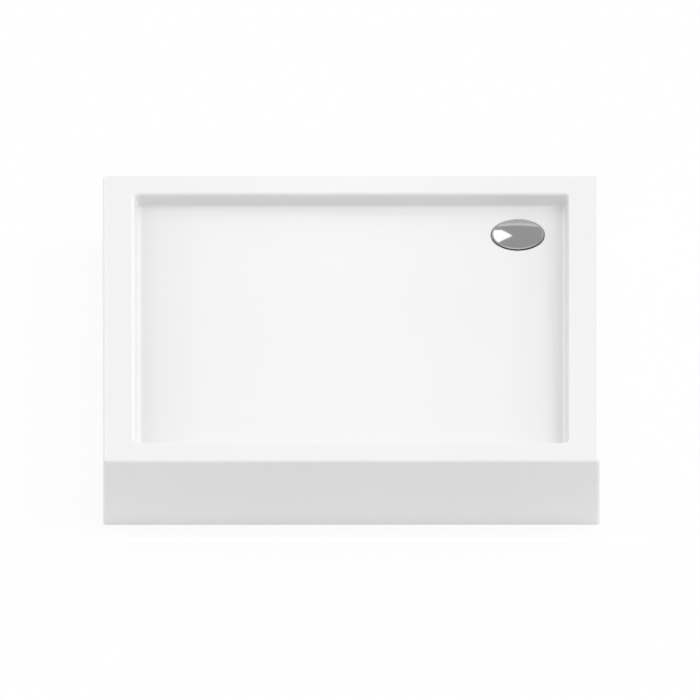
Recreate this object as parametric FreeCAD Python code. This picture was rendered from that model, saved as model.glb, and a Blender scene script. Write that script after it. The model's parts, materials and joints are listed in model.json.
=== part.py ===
"""Square shower tray with a skirt, five adjustable feet and a corner waste with its trap.

Millimetres. X runs along the front from left to right, Y from front to back, Z up from the floor.
"""

import math
import os

import FreeCAD
import Part

vec = FreeCAD.Vector
up = vec(0, 0, 1)
origin = vec(0, 0, 0)

# Overall size of the moulded shell
tray_width = 1000.0
tray_depth = 1000.0
tray_height = 155.0
shell_thick = 4.0
corner_round = 8.0
edge_round = 7.0

# Basin: the distance from each outer face to the sharp edge of the basin's mouth
mouth_side = 63.0
mouth_front = 68.5
mouth_back = 67.5
floor_level = 129.0
wall_draft = 7.0
lip_round = 8.0
basin_corner_round = 12.0
floor_round = 6.5
lip_overrun = 10.0

# Fall of the floor towards the waste
waste_inset = 165.0
ring_level = 123.0
ring_radius = 64.0
fall_margin = 7.0
fall_corner = 4.0

# Back of the skirt: only a lip is left, so that the plumbing can be reached
back_lip = 30.0

# Waste opening in the floor
recess_radius = 54.5
recess_depth = 6.0
recess_edge_round = 1.5
hole_radius = 45.0

# Glass-fibre layer and base board
laminate_thick = 3.0
laminate_bottom = 116.0
laminate_round = 2.5
board_thick = 16.0
board_inset_side = 90.0
board_inset_front = 95.0
board_inset_back = 100.0
board_waste_gap = 12.0
board_pipe_gap = 18.0
board_corner = 12.0

# Feet
foot_inset = 155.0
plate_size = 70.0
plate_edge_gap = 4.0
plate_thick = 3.0
plate_corner = 6.0
boss_radius = 11.0
boss_root_radius = 15.0
boss_root_height = 5.0
boss_length = 28.0
stud_radius = 6.0
running_gap = 0.05
stud_top_gap = 0.5
stud_chamfer = 1.0
hex_across_flats = 19.0
hex_height = 8.0
nut_height = 10.0
hex_chamfer = 1.0
pad_radius = 25.0
pad_height = 22.0
pad_rim = 5.0
pad_hub_radius = 12.0
pad_neck_height = 15.0
pad_groove = 1.2
spigot_radius = 5.0
spigot_length = 14.0
spigot_end_gap = 0.1

# Foot plate screws
plate_screw_offset = 26.0
plate_screw_radius = 2.0
plate_screw_head_radius = 4.0
plate_screw_head = 2.4
plate_screw_bite = 12.0
plate_hole_gap = 0.3

# Waste flange and seals
seal_thick = 1.5
flange_radius = 52.5
flange_thick = 2.0
flange_cup_outer = 43.0
flange_cup_wall = 2.5
flange_ledge_depth = 11.5
flange_ledge_thick = 2.5
flange_bore = 31.0
upper_seal_radius = 51.5
lower_seal_radius = 56.0

# Trap body
trap_flange_radius = 58.0
trap_flange_thick = 6.5
trap_mouth_gap = 0.4
trap_radius = 50.0
trap_wall = 3.5
trap_bottom = 4.0
trap_ledge_thick = 3.0
sleeve_radius = 34.0
sleeve_length = 16.0
trap_edge_round = 6.0

# Flange screws
flange_screw_ring = 37.25
flange_screw_count = 4
flange_screw_radius = 2.0
flange_screw_head_radius = 3.0
flange_screw_head = 2.2
flange_screw_bite = 14.0
flange_boss_radius = 4.6
flange_boss_length = 18.0

# Trap insert with its O-ring
insert_collar_radius = 33.5
insert_collar_thick = 2.5
insert_radius = 28.0
insert_wall = 2.5
insert_end = 17.0
insert_gap = 0.4
oring_section = 2.6
oring_drop = 9.0
spoke_count = 6
spoke_thick = 2.0
spoke_height = 3.0
spoke_drop = 12.0
spoke_hub = 5.0
strainer_hoop = 1.5

# Waste cover
cover_radius = 52.0
cover_dome_radius = 453.0
cover_thick = 2.0
cover_crown = 128.0
bead_radius = 1.7
cover_leg_count = 4
cover_leg_wall = 2.8
cover_leg_width = 12.0
cover_leg_gap = 0.08
cover_leg_end = 104.0

# Outlet
outlet_level = 68.0
pipe_radius = 25.0
pipe_wall = 3.0
spigot_reach = 85.0
thread_radius = 27.4
thread_length = 17.0
thread_gap = 0.1
outlet_seal_thick = 2.0
elbow_collar_radius = 27.1
elbow_collar_thick = 4.0
elbow_bend = 30.0
elbow_straight = 6.0
elbow_leg = 45.0
union_radius = 33.0
union_length = 28.0
union_shoulder = 4.0
union_shoulder_gap = 0.6
union_grip_count = 12
union_grip_radius = 3.0

# Levels and offsets that follow from the sizes above
half_x = tray_width / 2
half_y = tray_depth / 2
wall_height = tray_height - floor_level
draft_tan = wall_draft / wall_height
draft_cos = math.cos(math.atan(draft_tan))
waste_x = half_x - waste_inset
waste_y = half_y - waste_inset
recess_level = ring_level - recess_depth
bump_level = recess_level - shell_thick
board_top = laminate_bottom
board_bottom = board_top - board_thick
plate_bottom = board_bottom - plate_thick
boss_bottom = plate_bottom - boss_length
stud_top = board_bottom - stud_top_gap
flange_bottom = recess_level + seal_thick
flange_top = flange_bottom + flange_thick
ledge_bottom = flange_bottom - flange_ledge_depth
ledge_top = ledge_bottom + flange_ledge_thick
trap_top = bump_level - seal_thick
trap_flange_bottom = trap_top - trap_flange_thick
insert_top = ledge_top + insert_collar_thick
insert_bore = insert_radius - insert_wall
sleeve_bottom = ledge_bottom - sleeve_length
pipe_bore = pipe_radius - pipe_wall
elbow_reach = spigot_reach + outlet_seal_thick + elbow_collar_thick + elbow_straight + elbow_bend
board_side = half_x - board_inset_side
board_front = half_y - board_inset_front
board_back = half_y - board_inset_back
notch_left = waste_x - elbow_reach - pipe_radius - board_pipe_gap
notch_front = waste_y - trap_flange_radius - board_waste_gap
foot_x = half_x - foot_inset
foot_y = half_y - foot_inset
foot_before_notch = notch_front - plate_edge_gap - plate_size / 2


def faces_to_solid(faces):
    """Joins faces that share their edges into a solid that faces outward."""
    shell = Part.makeShell(faces)
    shell.sewShape()
    solid = Part.makeSolid(shell)
    solid.fix(0.001, 0.001, 0.001)
    if solid.Volume < 0:
        solid.reverse()
    return solid


def polygon_face(points):
    """A flat face through corner points."""
    return Part.Face(Part.makePolygon(points + [points[0]]))


def drafted_block(grow, bottom):
    """The basin's hollow as a block with sloping walls, grown by a wall thickness."""
    spread = grow / draft_cos
    top = tray_height + lip_overrun
    low = spread + (bottom - tray_height) * draft_tan
    high = spread + lip_overrun * draft_tan
    left = -half_x + mouth_side
    right = half_x - mouth_side
    front = -half_y + mouth_front
    back = half_y - mouth_back
    lower = (left - low, bottom, -back - low)
    upper = (-back - high, left - high)
    block = Part.makeWedge(*lower, *upper, right + low, top, -front + low, -front + high, right + high)
    block.rotate(origin, vec(1, 0, 0), 90)  # the wedge tapers along Y when it is made
    upright = [e for e in block.Edges if abs(e.Vertexes[0].Z - e.Vertexes[1].Z) > 1]
    return block.makeFillet(basin_corner_round + grow, upright)


def level_edges(shape, level, inside_x, inside_y):
    """Edges of a shape that lie at a level within a rectangle about the middle."""
    found = []
    for e in shape.Edges:
        box = e.BoundBox
        flat = abs(box.ZMin - level) < 0.001 and abs(box.ZMax - level) < 0.001
        within = max(abs(box.XMin), abs(box.XMax)) < inside_x and max(abs(box.YMin), abs(box.YMax)) < inside_y
        if flat and within:
            found.append(e)
    return found


def hollow(grow, bottom):
    """The basin's hollow with its floor rounding, grown by a wall thickness."""
    block = drafted_block(grow, bottom)
    return block.makeFillet(floor_round + grow, level_edges(block, bottom, half_x, half_y))


def fall_block(top, bottom):
    """The solid between the level edge of the floor and the ring round the waste.

    Four flat triangles and four ruled corners, tangent to each other along straight lines.
    """
    inset = wall_draft + fall_margin
    x0 = -half_x + mouth_side + inset
    x1 = half_x - mouth_side - inset
    y0 = -half_y + mouth_front + inset
    y1 = half_y - mouth_back - inset
    middles = [
        vec(x1 - fall_corner, y1 - fall_corner, top),
        vec(x0 + fall_corner, y1 - fall_corner, top),
        vec(x0 + fall_corner, y0 + fall_corner, top),
        vec(x1 - fall_corner, y0 + fall_corner, top),
    ]
    centre = vec(waste_x, waste_y, bottom)
    outer_arcs = []
    ring_arcs = []
    for i in range(4):
        start = 90 * i
        outer_arcs.append(Part.makeCircle(fall_corner, middles[i], up, start, start + 90))
        ring_arcs.append(Part.makeCircle(ring_radius, centre, up, start, start + 90))
    faces = []
    outline = []
    for i in range(4):
        j = (i + 1) % 4
        faces.append(Part.makeRuledSurface(outer_arcs[i], ring_arcs[i]))
        left = outer_arcs[i].valueAt(outer_arcs[i].LastParameter)
        right = outer_arcs[j].valueAt(outer_arcs[j].FirstParameter)
        apex = ring_arcs[i].valueAt(ring_arcs[i].LastParameter)
        faces.append(polygon_face([left, right, apex]))
        outline.append(outer_arcs[i])
        outline.append(Part.makeLine(left, right))
    faces.append(Part.Face(Part.Wire(outline)))
    faces.append(Part.Face(Part.Wire(ring_arcs)))
    return faces_to_solid(faces)


def slab(x0, x1, y0, y1, z0, z1):
    """A plain block between two corners."""
    return Part.makeBox(x1 - x0, y1 - y0, z1 - z0, vec(x0, y0, z0))


def rounded_slab(x0, x1, y0, y1, z0, z1, radius):
    """A block with rounded upright edges."""
    block = slab(x0, x1, y0, y1, z0, z1)
    upright = [e for e in block.Edges if abs(e.Vertexes[0].Z - e.Vertexes[1].Z) > 1e-6]
    return block.makeFillet(radius, upright)


def turned(points, x=0.0, y=0.0):
    """A solid of revolution from (radius, level) points, about the upright axis at x, y."""
    outline = [vec(r, 0, z) for r, z in points]
    face = polygon_face(outline)
    solid = face.revolve(origin, up, 360)
    solid.translate(vec(x, y, 0))
    return solid


def rod(radius, z0, z1, x=0.0, y=0.0):
    """An upright cylinder."""
    return Part.makeCylinder(radius, z1 - z0, vec(x, y, z0), up)


def tube(outer, inner, z0, z1, x=0.0, y=0.0):
    """An upright tube."""
    return rod(outer, z0, z1, x, y).cut(rod(inner, z0 - 1, z1 + 1, x, y))


def rod_to_left(radius, near, far, y, z):
    """A cylinder that lies along X, from near to far on the left of the origin."""
    return Part.makeCylinder(radius, far - near, vec(-near, y, z), vec(-1, 0, 0))


def at_waste(shape):
    """Moves what is built round the origin to the waste's axis."""
    shape.translate(vec(waste_x, waste_y, 0))
    return shape


def hexagon(across_flats, z0, z1, chamfer, x=0.0, y=0.0):
    """An upright hexagonal prism with its corners turned off at both ends."""
    corner = across_flats / math.sqrt(3)
    points = []
    for i in range(6):
        angle = math.radians(60 * i)
        points.append(vec(corner * math.cos(angle), corner * math.sin(angle), z0))
    prism = polygon_face(points).extrude(vec(0, 0, z1 - z0))
    inner = corner - chamfer
    height = chamfer * math.tan(math.radians(30))
    low, high = z0 + height, z1 - height
    turning = turned([(0, z0), (inner, z0), (corner, low), (corner, high), (inner, z1), (0, z1)])
    prism = prism.common(turning)
    prism.translate(vec(x, y, 0))
    return prism


def fused(shapes):
    """Joins shapes and drops the seams between faces of one surface."""
    return shapes[0].multiFuse(shapes[1:]).removeSplitter()


def round_edge(shape, radius, wanted):
    """Rounds the edges that a test picks out."""
    return shape.makeFillet(radius, [e for e in shape.Edges if wanted(e)])


def is_ring(edge, radius, level):
    """Whether an edge is the level circle of this radius."""
    if not isinstance(edge.Curve, Part.Circle):
        return False
    return abs(edge.Curve.Radius - radius) < 0.01 and abs(edge.Curve.Center.z - level) < 0.01


# Basin hollows: the inside, the shell's underside and the glass-fibre layer's underside
basin = hollow(0.0, floor_level).fuse(fall_block(floor_level, ring_level))
basin_under = hollow(shell_thick, floor_level - shell_thick)
basin_under = basin_under.fuse(fall_block(floor_level - shell_thick, ring_level - shell_thick))
waste_bump = rod(recess_radius + shell_thick, bump_level, floor_level - shell_thick - 1, waste_x, waste_y)


def tray_shell():
    """Rim, basin and skirt, moulded in one piece."""
    outer = rounded_slab(-half_x, half_x, -half_y, half_y, 0, tray_height, corner_round)
    outer = outer.makeFillet(edge_round, level_edges(outer, tray_height, half_x + 1, half_y + 1))
    in_x = half_x - shell_thick
    in_y = half_y - shell_thick
    under_rim = tray_height - shell_thick
    inner = rounded_slab(-in_x, in_x, -in_y, in_y, -1, under_rim, corner_round - shell_thick)
    inner = inner.makeFillet(edge_round - shell_thick, level_edges(inner, under_rim, half_x, half_y))
    skin = outer.cut(inner)
    way_in = slab(-in_x, in_x, in_y - 2, half_y + 1, -1, tray_height - back_lip)
    skin = skin.cut(way_in)
    below_rim = slab(-half_x, half_x, -half_y, half_y, 0, tray_height - shell_thick / 2)
    tub = basin_under.common(below_rim).fuse(waste_bump)
    body = skin.fuse(tub).removeSplitter()
    inside_x = half_x - mouth_side + 2 * shell_thick
    inside_y = half_y - mouth_back + 2 * shell_thick
    body = body.makeFillet(lip_round - shell_thick, level_edges(body, under_rim, inside_x, inside_y))
    body = body.cut(basin)
    body = body.makeFillet(lip_round, level_edges(body, tray_height, inside_x, inside_y))
    body = body.cut(rod(recess_radius, recess_level, floor_level, waste_x, waste_y))
    body = body.cut(rod(hole_radius, 0, floor_level, waste_x, waste_y))
    return round_edge(body, recess_edge_round, lambda e: is_ring(e, recess_radius, ring_level))


def underside_laminate(shell):
    """Glass fibre and resin that wraps the basin and ends in a flat base."""
    wrap = drafted_block(shell_thick + laminate_thick, laminate_bottom)
    wrap = wrap.makeFillet(laminate_round, level_edges(wrap, laminate_bottom, half_x, half_y))
    below_rim = slab(-half_x, half_x, -half_y, half_y, 0, tray_height - shell_thick)
    wrap = wrap.common(below_rim).cut(basin_under)
    wrap = wrap.cut(rod(recess_radius + shell_thick, 0, tray_height, waste_x, waste_y))
    return wrap.cut(shell)


foot_places = {
    "front_left": (-foot_x, -foot_y),
    "front_right": (foot_x, -foot_y),
    "back_left": (-foot_x, foot_y),
    "back_right": (foot_x, foot_before_notch),
    "centre": (0.0, 0.0),
}


def plate_screw_places():
    """Where the foot plate screws stand, four to a plate."""
    places = []
    for x, y in foot_places.values():
        for sx in (-1, 1):
            for sy in (-1, 1):
                places.append((x + sx * plate_screw_offset, y + sy * plate_screw_offset))
    return places


def base_board():
    """The board under the basin, with its corner cut away round the waste and its outlet."""
    board = slab(-board_side, board_side, -board_front, board_back, board_bottom, board_top)
    board = board.cut(slab(notch_left, half_x, notch_front, half_y, 0, tray_height))
    upright = [e for e in board.Edges if abs(e.Vertexes[0].Z - e.Vertexes[1].Z) > 1]
    board = board.makeFillet(board_corner, upright)
    bite_top = board_bottom + plate_screw_bite
    holes = [rod(plate_screw_radius, board_bottom - 1, bite_top, x, y) for x, y in plate_screw_places()]
    return board.cut(Part.makeCompound(holes))


def foot_plate(x, y):
    """A pressed plate with a threaded boss for the stud."""
    half = plate_size / 2
    plate = rounded_slab(-half, half, -half, half, plate_bottom, board_bottom, plate_corner)
    boss = turned(
        [
            (0, boss_bottom),
            (boss_radius - 1, boss_bottom),
            (boss_radius, boss_bottom + 1),
            (boss_radius, plate_bottom - boss_root_height),
            (boss_root_radius, plate_bottom),
            (0, plate_bottom),
        ]
    )
    body = fused([plate, boss])
    cuts = [rod(stud_radius + running_gap, boss_bottom - 1, board_bottom + 1)]
    for sx in (-1, 1):
        for sy in (-1, 1):
            radius = plate_screw_radius + plate_hole_gap
            cx = sx * plate_screw_offset
            cy = sy * plate_screw_offset
            cuts.append(rod(radius, plate_bottom - 1, board_bottom + 1, cx, cy))
    body = body.cut(Part.makeCompound(cuts))
    body.translate(vec(x, y, 0))
    return body


def foot_stud(x, y):
    """A threaded stud with a hexagon and a plain spigot that turns in the pad."""
    shank = turned(
        [
            (0, pad_height - spigot_length),
            (spigot_radius - stud_chamfer, pad_height - spigot_length),
            (spigot_radius, pad_height - spigot_length + stud_chamfer),
            (spigot_radius, pad_height),
            (stud_radius, pad_height),
            (stud_radius, stud_top - stud_chamfer),
            (stud_radius - stud_chamfer, stud_top),
            (0, stud_top),
        ]
    )
    nut = hexagon(hex_across_flats, pad_height, pad_height + hex_height, hex_chamfer)
    body = fused([shank, nut])
    body.translate(vec(x, y, 0))
    return body


def foot_pad(x, y):
    """A round pad with a hub for the stud's spigot."""
    body = turned(
        [
            (0, 0),
            (pad_radius - 1, 0),
            (pad_radius, 1),
            (pad_radius, pad_rim - 1),
            (pad_radius - 1, pad_rim),
            (pad_hub_radius + 2, pad_rim + 2),
            (pad_hub_radius, pad_neck_height),
            (pad_hub_radius - pad_groove, pad_neck_height + 1),
            (pad_hub_radius, pad_neck_height + 2),
            (pad_hub_radius, pad_height - 1),
            (pad_hub_radius - 1, pad_height),
            (0, pad_height),
        ]
    )
    bore_end = pad_height - spigot_length - spigot_end_gap
    body = body.cut(rod(spigot_radius + running_gap, bore_end, pad_height + 1))
    body.translate(vec(x, y, 0))
    return body


def lock_nuts():
    """One nut under each boss."""
    nuts = []
    for x, y in foot_places.values():
        nut = hexagon(hex_across_flats, boss_bottom - nut_height, boss_bottom, hex_chamfer, x, y)
        nuts.append(nut.cut(rod(stud_radius + running_gap, 0, tray_height, x, y)))
    return Part.makeCompound(nuts)


def plate_screws():
    """Pan-head screws that hold the foot plates to the board."""
    screws = []
    for x, y in plate_screw_places():
        low = plate_bottom - plate_screw_head
        screws.append(
            turned(
                [
                    (0, low),
                    (plate_screw_head_radius - 1, low),
                    (plate_screw_head_radius, low + 1),
                    (plate_screw_head_radius, plate_bottom),
                    (plate_screw_radius, plate_bottom),
                    (plate_screw_radius, board_bottom + plate_screw_bite - 2),
                    (0, board_bottom + plate_screw_bite),
                ],
                x,
                y,
            )
        )
    return Part.makeCompound(screws)


def flange_screw_places():
    """Where the flange screws stand, round the waste."""
    places = []
    for i in range(flange_screw_count):
        angle = math.radians(45 + 360 / flange_screw_count * i)
        along_x = flange_screw_ring * math.cos(angle)
        along_y = flange_screw_ring * math.sin(angle)
        places.append((waste_x + along_x, waste_y + along_y))
    return places


def waste_flange():
    """A dished ring: rim on the upper seal, cup through the floor, ledge for screws and insert."""
    cup_inner = flange_cup_outer - flange_cup_wall
    body = turned(
        [
            (flange_bore, ledge_bottom),
            (flange_cup_outer, ledge_bottom),
            (flange_cup_outer, flange_bottom),
            (flange_radius, flange_bottom),
            (flange_radius, flange_top - 1),
            (flange_radius - 1, flange_top),
            (cup_inner + 1.5, flange_top),
            (cup_inner, flange_top - 1.5),
            (cup_inner, ledge_top),
            (flange_bore, ledge_top),
        ],
        waste_x,
        waste_y,
    )
    radius = flange_screw_radius + plate_hole_gap
    holes = [rod(radius, ledge_bottom - 1, ledge_top + 1, x, y) for x, y in flange_screw_places()]
    return body.cut(Part.makeCompound(holes))


def trap_body():
    """The cup that holds the water seal, with its clamp flange, insert sleeve and outlet spigot."""
    inner = trap_radius - trap_wall
    mouth = flange_cup_outer + trap_mouth_gap
    floor_inside = trap_bottom + trap_wall
    cup = turned(
        [
            (0, trap_bottom),
            (trap_radius - trap_edge_round, trap_bottom),
            (trap_radius, trap_bottom + trap_edge_round),
            (trap_radius, trap_flange_bottom),
            (trap_flange_radius, trap_flange_bottom),
            (trap_flange_radius, trap_top),
            (mouth, trap_top),
            (mouth, ledge_bottom),
            (flange_bore, ledge_bottom),
            (flange_bore, sleeve_bottom),
            (sleeve_radius, sleeve_bottom),
            (sleeve_radius, ledge_bottom - trap_ledge_thick),
            (inner, ledge_bottom - trap_ledge_thick),
            (inner, floor_inside + trap_edge_round),
            (inner - trap_edge_round, floor_inside),
            (0, floor_inside),
        ]
    )
    parts = [cup]
    ledge_under = ledge_bottom - trap_ledge_thick
    for x, y in flange_screw_places():
        boss_low = ledge_bottom - flange_boss_length
        parts.append(rod(flange_boss_radius, boss_low, ledge_under + 1, x - waste_x, y - waste_y))
    parts.append(rod_to_left(pipe_radius, inner - trap_wall, spigot_reach, 0, outlet_level))
    parts.append(rod_to_left(thread_radius, spigot_reach - thread_length, spigot_reach, 0, outlet_level))
    body = fused(parts)
    cuts = [rod_to_left(pipe_bore, 0, spigot_reach + 1, 0, outlet_level)]
    for x, y in flange_screw_places():
        bite = ledge_bottom - flange_screw_bite
        cuts.append(rod(flange_screw_radius, bite, ledge_bottom + 1, x - waste_x, y - waste_y))
    way_out = cuts[0].cut(rod(sleeve_radius, 0, tray_height))
    body = body.cut(way_out).cut(Part.makeCompound(cuts[1:]))
    body.translate(vec(waste_x, waste_y, 0))
    return body


def flange_screws():
    """Screws that pull the flange and the trap body together through the floor."""
    screws = []
    for x, y in flange_screw_places():
        head_top = ledge_top + flange_screw_head
        screws.append(
            turned(
                [
                    (0, ledge_bottom - flange_screw_bite),
                    (flange_screw_radius, ledge_bottom - flange_screw_bite + 1),
                    (flange_screw_radius, ledge_top),
                    (flange_screw_head_radius, ledge_top),
                    (flange_screw_head_radius, head_top - 1),
                    (flange_screw_head_radius - 1, head_top),
                    (0, head_top),
                ],
                x,
                y,
            )
        )
    return Part.makeCompound(screws)


def oring_level():
    """The level of the O-ring's middle."""
    return ledge_bottom - oring_drop


def oring_ring():
    """The radius of the O-ring's middle line, between the insert's groove and the sleeve."""
    return flange_bore - oring_section / 2


def trap_insert():
    """The lift-out dip tube with its collar and O-ring groove."""
    groove_half = oring_section / 2 + 0.2
    level = oring_level()
    land = flange_bore - insert_gap
    groove = flange_bore - oring_section
    body = turned(
        [
            (insert_bore, insert_end),
            (insert_radius, insert_end),
            (insert_radius, level - groove_half - 3),
            (land, level - groove_half - 2),
            (land, level - groove_half),
            (groove, level - groove_half),
            (groove, level + groove_half),
            (land, level + groove_half),
            (land, ledge_top),
            (insert_collar_radius, ledge_top),
            (insert_collar_radius, insert_top - 0.6),
            (insert_collar_radius - 0.6, insert_top),
            (insert_bore + 1, insert_top),
            (insert_bore, insert_top - 1),
        ]
    )
    body.translate(vec(waste_x, waste_y, 0))
    return body


def insert_strainer():
    """The strainer pressed into the dip tube: a hoop, a hub and spokes."""
    top = insert_top - spoke_drop
    bottom = top - spoke_height
    parts = [tube(insert_bore, insert_bore - strainer_hoop, bottom, top), rod(spoke_hub, bottom, top)]
    reach = insert_bore - strainer_hoop / 2
    for i in range(spoke_count // 2):
        bar = slab(-reach, reach, -spoke_thick / 2, spoke_thick / 2, bottom, top)
        bar.rotate(origin, up, 360 / spoke_count * i)
        parts.append(bar)
    body = fused(parts)
    body.translate(vec(waste_x, waste_y, 0))
    return body


def insert_seal():
    """The O-ring round the insert."""
    return Part.makeTorus(oring_ring(), oring_section / 2, vec(waste_x, waste_y, oring_level()), up)


def drain_cover():
    """A shallow dome with a rolled lip, on legs that stand in the insert."""
    bead_ring = cover_radius - bead_radius
    middle = cover_crown - cover_dome_radius
    join = bead_ring - bead_radius * math.cos(math.radians(40))
    join_level = middle + math.sqrt(cover_dome_radius**2 - join**2)
    bead_level = join_level - bead_radius * math.sin(math.radians(40))
    under_radius = cover_dome_radius - cover_thick
    under_join = bead_ring - bead_radius
    under_level = middle + math.sqrt(under_radius**2 - under_join**2)

    def on_sphere(radius, ring):
        return vec(ring, 0, middle + math.sqrt(radius**2 - ring**2))

    top = on_sphere(cover_dome_radius, 0)
    edge = on_sphere(cover_dome_radius, join)
    bead_out = vec(cover_radius, 0, bead_level)
    bead_low = vec(bead_ring, 0, bead_level - bead_radius)
    turn = bead_radius * math.cos(math.radians(45))
    bead_side = vec(bead_ring + turn, 0, bead_level - turn)
    bead_over = vec(bead_ring + turn, 0, bead_level + turn)
    inside = vec(under_join, 0, under_level)
    low = on_sphere(under_radius, 0)
    edges = [
        Part.Arc(top, on_sphere(cover_dome_radius, join / 2), edge).toShape(),
        Part.Arc(edge, bead_over, bead_out).toShape(),
        Part.Arc(bead_out, bead_side, bead_low).toShape(),
        Part.makeLine(bead_low, inside),
        Part.Arc(inside, on_sphere(under_radius, under_join / 2), low).toShape(),
        Part.makeLine(low, top),
    ]
    dome = Part.Face(Part.Wire(edges)).revolve(origin, up, 360)
    leg_outer = insert_bore - cover_leg_gap
    ring = tube(leg_outer, leg_outer - cover_leg_wall, cover_leg_end, cover_crown - cover_thick)
    half = cover_leg_width / 2
    bars = []
    for i in range(cover_leg_count // 2):
        bar = slab(-cover_radius, cover_radius, -half, half, cover_leg_end - 1, cover_crown)
        bar.rotate(origin, up, 360 / cover_leg_count * i)
        bars.append(bar)
    legs = ring.common(bars[0].multiFuse(bars[1:]))
    body = fused([dome] + legs.Solids)
    body.translate(vec(waste_x, waste_y, 0))
    return body


def outlet_seal():
    """The flat ring between the spigot's end and the elbow's collar."""
    near = spigot_reach
    far = near + outlet_seal_thick
    disc = rod_to_left(elbow_collar_radius, near, far, 0, outlet_level)
    return at_waste(disc.cut(rod_to_left(pipe_bore, near - 1, far + 1, 0, outlet_level)))


def outlet_elbow():
    """A bend from the trap's outlet to a spigot that points to the back."""
    near = spigot_reach + outlet_seal_thick
    far = near + elbow_collar_thick + elbow_straight
    start = vec(-far, 0, outlet_level)
    along = vec(-1, 0, 0)

    def bent(radius, before, after):
        straight = rod_to_left(radius, near - before, far, 0, outlet_level)
        ring = Part.Face(Part.Wire(Part.makeCircle(radius, start, along)))
        curve = ring.revolve(vec(-far, elbow_bend, outlet_level), -up, 90)
        corner = vec(-far - elbow_bend, elbow_bend, outlet_level)
        leg = Part.makeCylinder(radius, elbow_leg + after, corner, vec(0, 1, 0))
        return straight.multiFuse([curve, leg]).removeSplitter()

    collar = rod_to_left(elbow_collar_radius, near, near + elbow_collar_thick, 0, outlet_level)
    body = fused([bent(pipe_radius, 0, 0), collar])
    return at_waste(body.cut(bent(pipe_bore, 1, 1)))


def outlet_union_nut():
    """The ring nut that pulls the elbow's collar onto the seal."""
    far = spigot_reach + outlet_seal_thick + elbow_collar_thick + union_shoulder
    near = far - union_length
    parts = [rod_to_left(union_radius - union_grip_radius / 2, near, far, 0, outlet_level)]
    for i in range(union_grip_count):
        angle = math.radians(360 / union_grip_count * (i + 0.5))
        ring = union_radius - union_grip_radius
        y = ring * math.cos(angle)
        z = outlet_level + ring * math.sin(angle)
        parts.append(rod_to_left(union_grip_radius, near, far, y, z))
    body = fused(parts)
    bore = rod_to_left(thread_radius + thread_gap, near - 1, far - union_shoulder, 0, outlet_level)
    way = rod_to_left(pipe_radius + union_shoulder_gap, near - 1, far + 1, 0, outlet_level)
    return at_waste(body.cut(bore).cut(way))


def upper_seal():
    """The flat ring between the floor's recess and the flange."""
    return tube(upper_seal_radius, hole_radius, recess_level, flange_bottom, waste_x, waste_y)


def lower_seal():
    """The flat ring between the shell's underside and the trap body."""
    return tube(lower_seal_radius, hole_radius, trap_top, bump_level, waste_x, waste_y)


def build():
    """Every piece by its node name."""
    shell = tray_shell()
    pieces = {
        "tray_shell": shell,
        "underside_laminate": underside_laminate(shell),
        "base_board": base_board(),
        "foot_lock_nuts": lock_nuts(),
        "foot_plate_screws": plate_screws(),
        "waste_upper_seal": upper_seal(),
        "waste_flange": waste_flange(),
        "waste_lower_seal": lower_seal(),
        "trap_body": trap_body(),
        "waste_flange_screws": flange_screws(),
        "trap_insert": trap_insert(),
        "insert_strainer": insert_strainer(),
        "insert_seal": insert_seal(),
        "drain_cover": drain_cover(),
        "outlet_seal": outlet_seal(),
        "outlet_union_nut": outlet_union_nut(),
        "outlet_elbow": outlet_elbow(),
    }
    for place, (x, y) in foot_places.items():
        pieces["foot_plate_" + place] = foot_plate(x, y)
        pieces["foot_stud_" + place] = foot_stud(x, y)
        pieces["foot_pad_" + place] = foot_pad(x, y)
    return pieces


os.makedirs("parts", exist_ok=True)
for name, shape in build().items():
    shape.exportStep("parts/" + name + ".step")
    box = shape.BoundBox
    print(name, len(shape.Solids), shape.isValid(), round(shape.Volume / 1000, 1),
          [round(v, 1) for v in (box.XMin, box.XMax, box.YMin, box.YMax, box.ZMin, box.ZMax)])
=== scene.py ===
import json
import math

import bmesh
import bpy
from mathutils import Matrix, Vector

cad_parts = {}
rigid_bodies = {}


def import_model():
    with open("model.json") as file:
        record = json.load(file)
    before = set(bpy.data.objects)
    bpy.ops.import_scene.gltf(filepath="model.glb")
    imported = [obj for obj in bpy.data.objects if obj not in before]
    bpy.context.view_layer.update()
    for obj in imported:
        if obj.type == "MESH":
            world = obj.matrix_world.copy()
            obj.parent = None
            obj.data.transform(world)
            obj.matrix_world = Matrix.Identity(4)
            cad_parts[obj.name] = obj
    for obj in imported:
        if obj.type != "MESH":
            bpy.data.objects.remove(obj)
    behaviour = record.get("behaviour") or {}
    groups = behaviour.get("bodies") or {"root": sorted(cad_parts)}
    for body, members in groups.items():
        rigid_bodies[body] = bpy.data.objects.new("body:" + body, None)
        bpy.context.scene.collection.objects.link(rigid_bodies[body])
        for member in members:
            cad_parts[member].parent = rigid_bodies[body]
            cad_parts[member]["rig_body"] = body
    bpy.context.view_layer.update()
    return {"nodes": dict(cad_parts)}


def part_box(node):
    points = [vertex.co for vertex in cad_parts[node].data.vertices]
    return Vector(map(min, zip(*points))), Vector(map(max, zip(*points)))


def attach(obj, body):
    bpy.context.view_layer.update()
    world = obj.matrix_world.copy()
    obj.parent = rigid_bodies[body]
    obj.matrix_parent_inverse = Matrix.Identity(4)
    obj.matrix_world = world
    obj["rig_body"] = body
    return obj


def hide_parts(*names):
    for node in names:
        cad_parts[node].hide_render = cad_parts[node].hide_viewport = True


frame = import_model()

scene = bpy.context.scene
mm = 0.001
feet = ["front_left", "front_right", "back_left", "back_right", "centre"]


# Small helpers for node trees

def addNode(tree, kind, values=None, **settings):
    made = tree.nodes.new(kind)
    for key, value in settings.items():
        setattr(made, key, value)
    for key, value in (values or {}).items():
        if isinstance(value, bpy.types.NodeSocket):
            tree.links.new(value, made.inputs[key])
        else:
            made.inputs[key].default_value = value
    return made


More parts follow.
